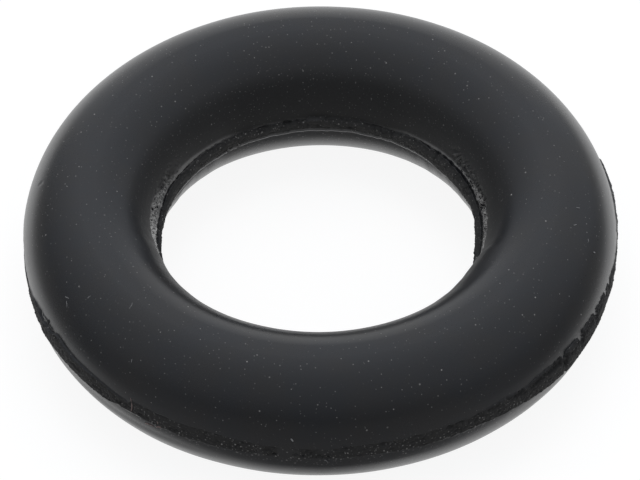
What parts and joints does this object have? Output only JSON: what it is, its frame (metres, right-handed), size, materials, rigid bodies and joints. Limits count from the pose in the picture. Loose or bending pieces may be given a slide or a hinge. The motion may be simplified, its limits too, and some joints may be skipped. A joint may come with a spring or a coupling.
{
  "type": "exhaust hanger ring",
  "caption": "Round moulded rubber ring of oval section that hangs an exhaust pipe between a hook on the car and a hook on the pipe.",
  "frame": {"origin": "centre of the ring, on the plane where the two mould halves met", "axes": "+Z along the ring's axis, out of its upper face; the ring lies flat on its lower face"},
  "size_m": [0.0635, 0.0633, 0.0158],
  "materials": {
    "rubber": "satin black moulded rubber, rougher where the mould flash is torn off"
  },
  "bodies": {
    "root": {"hanger_ring": "rubber"}
  },
  "joints": []
}
